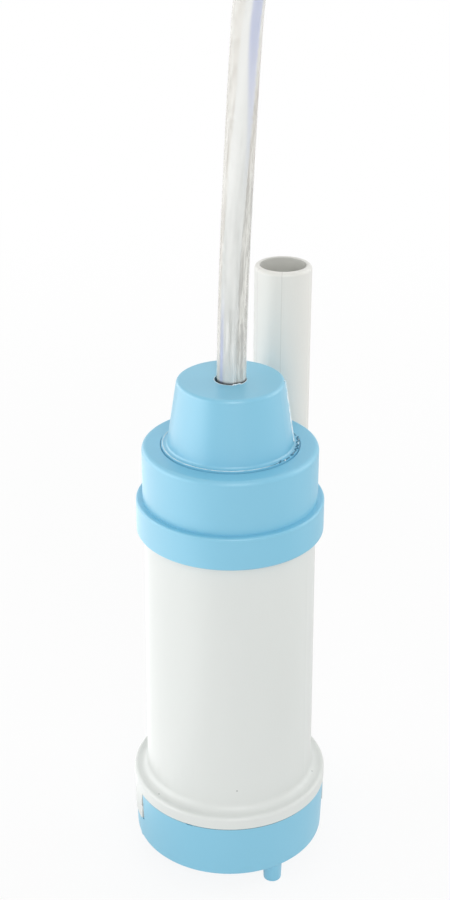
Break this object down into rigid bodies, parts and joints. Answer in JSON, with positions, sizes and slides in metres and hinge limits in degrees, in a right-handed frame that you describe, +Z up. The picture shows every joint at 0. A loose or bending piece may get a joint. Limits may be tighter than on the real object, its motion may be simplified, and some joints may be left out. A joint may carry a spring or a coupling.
{
  "type": "submersible water pump",
  "caption": "Slim submersible 12 V water pump for a caravan: motor housing on a clip-on pump base, riser tube beside it and a two-core cable out of a cone boot.",
  "frame": {"origin": "on the pump's axis, on the plane that its three feet stand on", "axes": "+Z up along the motor housing; +Y towards the riser tube; the put-away cable lies on the +X side"},
  "size_m": [0.144, 0.0896, 0.2003],
  "materials": {
    "white_plastic": "satin white ABS",
    "blue_plastic": "satin light blue ABS",
    "blue_grommet": "satin light blue flexible PVC",
    "seal_rubber": "matt black nitrile rubber",
    "zinced_steel": "zinc-plated drawn steel",
    "spring_steel": "blue-grey spring steel",
    "stainless_steel": "stainless steel",
    "electrical_steel": "laminated electrical steel",
    "ferrite": "hard ferrite",
    "bronze": "oil-filled sintered bronze",
    "copper": "copper, the windings lacquered",
    "spring_bronze": "phosphor bronze",
    "carbon": "copper-graphite",
    "black_nylon": "black glass-filled nylon",
    "washer_nylon": "natural nylon",
    "white_acetal": "white acetal",
    "ceramic": "lacquered ceramic disc",
    "core_sleeves": "tinted clear PVC over copper strands",
    "clear_sheath": "clear PVC sheath over two stranded cores",
    "collar_metal": "crimped aluminium",
    "tie_plastic": "white paper-covered tie strip",
    "tinned_copper": "tinned copper strands"
  },
  "bodies": {
    "pump_housing": {"housing": "white_plastic", "riser_tube": "white_plastic", "top_cap": "blue_plastic", "cap_seal": "seal_rubber", "cable_boot": "blue_grommet", "motor_can": "zinced_steel", "motor_screws": "stainless_steel", "field_magnets": "ferrite", "magnet_clip": "spring_steel", "front_bearing": "bronze", "rear_bearing": "bronze", "thrust_washers": "washer_nylon", "motor_end_bell": "black_nylon", "motor_terminals": "spring_bronze", "brushes": "carbon", "brush_arms": "spring_bronze", "suppression_capacitor": "ceramic", "lead_wires": "core_sleeves", "cushion_ring": "seal_rubber", "shaft_seal": "seal_rubber", "seal_retainer": "stainless_steel", "cable_collar": "collar_metal", "cable": "clear_sheath", "cable_coil": "clear_sheath", "coil_tie": "tie_plastic", "cable_cores": "core_sleeves", "core_tips": "tinned_copper"},
    "pump_rotor": {"motor_shaft": "stainless_steel", "armature_core": "electrical_steel", "armature_windings": "copper", "commutator_hub": "black_nylon", "commutator_segments": "copper", "impeller": "white_acetal"},
    "pump_base": {"base_cover": "blue_plastic"}
  },
  "joints": [
    {"name": "rotor_spin", "type": "hinge", "parent": "pump_housing", "child": "pump_rotor", "pos_m": [0, 0, 0.04], "axis": [0, 0, 1], "continuous": true},
    {"name": "base_pull", "type": "slide", "parent": "pump_housing", "child": "pump_base", "axis": [0, 0, -1], "range_m": [0, 0.012]}
  ]
}
